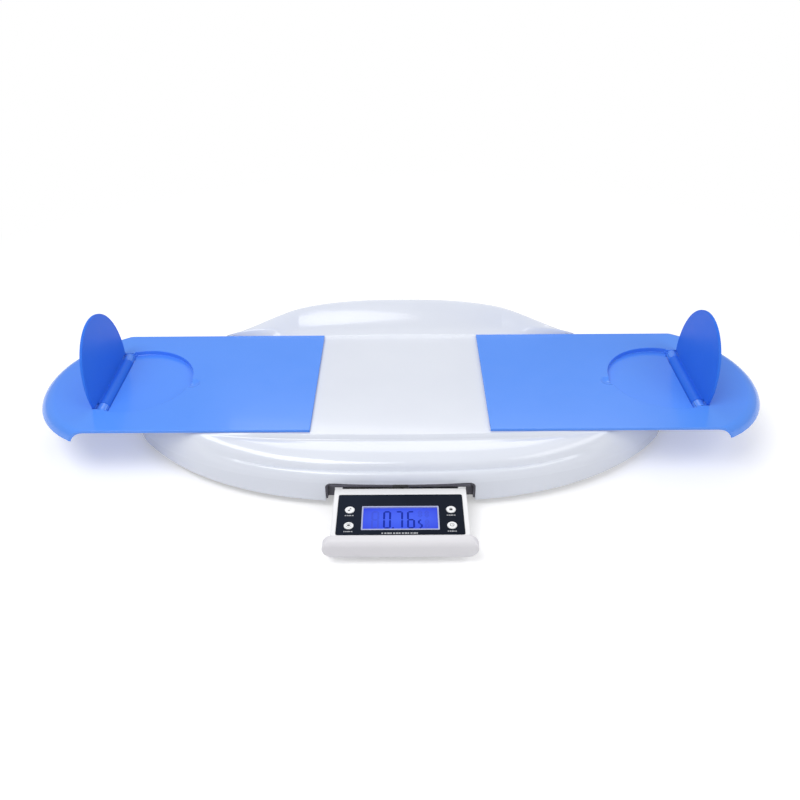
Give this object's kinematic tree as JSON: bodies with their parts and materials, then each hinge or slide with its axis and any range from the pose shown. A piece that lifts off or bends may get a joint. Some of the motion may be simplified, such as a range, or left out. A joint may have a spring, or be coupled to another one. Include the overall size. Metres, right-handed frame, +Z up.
{
  "type": "digital baby weighing scale",
  "caption": "Baby scale: boat-shaped body with a raised rear rim, sliding boards that turn down at their ends, folding round end stops and a pull-out display drawer with press keys.",
  "frame": {"origin": "bottom centre of the whole box, on the floor between the feet", "axes": "+X along the boards, to the right seen from the display; +Y towards the rear rim; +Z up"},
  "size_m": [0.823, 0.384, 0.1423],
  "materials": {
    "white_plastic": "gloss, faintly blue white",
    "board_blue": "satin blue",
    "flap_blue": "gloss deep blue",
    "dark_plastic": "matt dark grey",
    "black_plastic": "matt black",
    "window_black": "polished black",
    "button_white": "gloss white",
    "lcd_frame": "matt lavender grey",
    "lcd_blue": "lit blue glass",
    "diffuser": "matt white diffuser",
    "circuit_green": "solder mask green",
    "steel": "bright steel",
    "battery_label": "plain printed sleeve",
    "rubber_grey": "matt grey rubber",
    "cable_grey": "flat cable jacket"
  },
  "bodies": {
    "casing": {"top_shell": "white_plastic", "base_shell": "white_plastic", "bay_liner": "dark_plastic", "left_runner": "dark_plastic", "right_runner": "dark_plastic", "bay_catch": "dark_plastic", "bay_screws": "steel", "main_board": "circuit_green", "board_parts": "black_plastic", "speaker": "black_plastic", "battery_1": "battery_label", "battery_2": "battery_label", "battery_3": "battery_label", "battery_4": "battery_label", "battery_contacts": "steel", "load_cell_1": "steel", "load_cell_2": "steel", "load_cell_3": "steel", "load_cell_4": "steel", "cell_holder_1": "white_plastic", "cell_holder_2": "white_plastic", "cell_holder_3": "white_plastic", "cell_holder_4": "white_plastic", "foot_1": "rubber_grey", "foot_2": "rubber_grey", "foot_3": "rubber_grey", "foot_4": "rubber_grey", "base_screws": "steel", "flat_cable": "cable_grey", "cell_leads": "black_plastic"},
    "left_board_body": {"left_board": "board_blue", "left_hinge_pin": "steel", "left_slide_shoes": "white_plastic", "left_shoe_screws": "steel"},
    "right_board_body": {"right_board": "board_blue", "right_hinge_pin": "steel", "right_slide_shoes": "white_plastic", "right_shoe_screws": "steel"},
    "left_flap_body": {"left_flap": "flap_blue"},
    "right_flap_body": {"right_flap": "flap_blue"},
    "drawer": {"drawer_tray": "white_plastic", "drawer_grip": "white_plastic", "panel_frame": "white_plastic", "display_window": "window_black", "lcd_frame": "lcd_frame", "lcd_glass": "lcd_blue", "backlight": "diffuser", "display_board": "circuit_green", "display_screws": "steel", "button_switches": "black_plastic"},
    "music_key": {"music_button": "button_white"},
    "tare_key": {"tare_button": "button_white"},
    "lock_key": {"lock_button": "button_white"},
    "power_key": {"power_button": "button_white"},
    "door": {"battery_door": "white_plastic"}
  },
  "joints": [
    {"name": "left_board_slide", "type": "slide", "parent": "casing", "child": "left_board_body", "axis": [1, 0, 0], "range_m": [0, 0.0945]},
    {"name": "right_board_slide", "type": "slide", "parent": "casing", "child": "right_board_body", "axis": [-1, 0, 0], "range_m": [0, 0.0945]},
    {"name": "left_flap_hinge", "type": "hinge", "parent": "left_board_body", "child": "left_flap_body", "pos_m": [-0.331, 0.0395, 0.057], "axis": [0, 1, 0], "range_deg": [0, 95]},
    {"name": "right_flap_hinge", "type": "hinge", "parent": "right_board_body", "child": "right_flap_body", "pos_m": [0.331, 0.0395, 0.057], "axis": [0, -1, 0], "range_deg": [0, 95]},
    {"name": "drawer_slide", "type": "slide", "parent": "casing", "child": "drawer", "axis": [0, 1, 0], "range_m": [0, 0.076]},
    {"name": "music_press", "type": "slide", "parent": "drawer", "child": "music_key", "axis": [0, 0, -1], "range_m": [0, 0.0006], "stiffness_N_per_m": 900, "springref_m": -0.0006},
    {"name": "tare_press", "type": "slide", "parent": "drawer", "child": "tare_key", "axis": [0, 0, -1], "range_m": [0, 0.0006], "stiffness_N_per_m": 900, "springref_m": -0.0006},
    {"name": "lock_press", "type": "slide", "parent": "drawer", "child": "lock_key", "axis": [0, 0, -1], "range_m": [0, 0.0006], "stiffness_N_per_m": 900, "springref_m": -0.0006},
    {"name": "power_press", "type": "slide", "parent": "drawer", "child": "power_key", "axis": [0, 0, -1], "range_m": [0, 0.0006], "stiffness_N_per_m": 900, "springref_m": -0.0006},
    {"name": "battery_door_hinge", "type": "hinge", "parent": "casing", "child": "door", "pos_m": [-0.16805, 0.0595, 0.0107], "axis": [0, 1, 0], "range_deg": [0, 90]}
  ]
}
